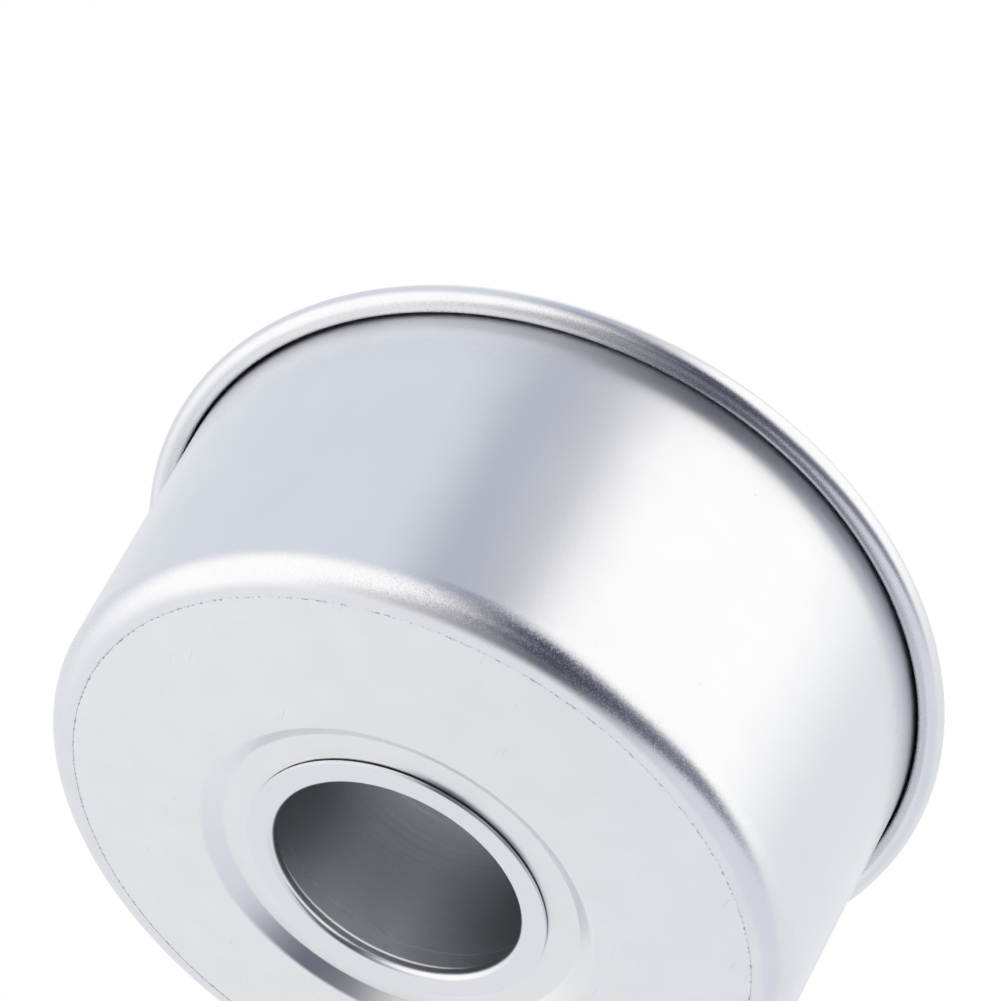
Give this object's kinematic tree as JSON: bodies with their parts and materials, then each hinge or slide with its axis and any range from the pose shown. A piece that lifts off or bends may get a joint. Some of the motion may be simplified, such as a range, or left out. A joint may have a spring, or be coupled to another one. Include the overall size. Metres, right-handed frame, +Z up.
{
  "type": "tube pan",
  "caption": "Round tapered tube pan of satin anodised aluminium sheet with a rolled rim; its loose base plate and centre tube lift out to release a ring cake.",
  "frame": {"origin": "on the pan's axis, in the plane that its base ledge stands on", "axes": "+Z up along the pan's axis from the base to the rim; the pan is round, so +X and +Y are free"},
  "size_m": [0.1932, 0.1932, 0.09],
  "materials": {
    "shell_aluminium": "satin anodised, fine blasted grain",
    "plate_aluminium": "satin anodised, pale, lightly scuffed",
    "tube_aluminium": "satin anodised, fine blasted grain"
  },
  "bodies": {
    "shell": {"pan_shell": "shell_aluminium"},
    "base_insert": {"base_plate": "plate_aluminium", "centre_tube": "tube_aluminium"}
  },
  "joints": [
    {"name": "base_lift", "type": "slide", "parent": "shell", "child": "base_insert", "axis": [0, 0, 1], "range_m": [0, 0.09]}
  ]
}
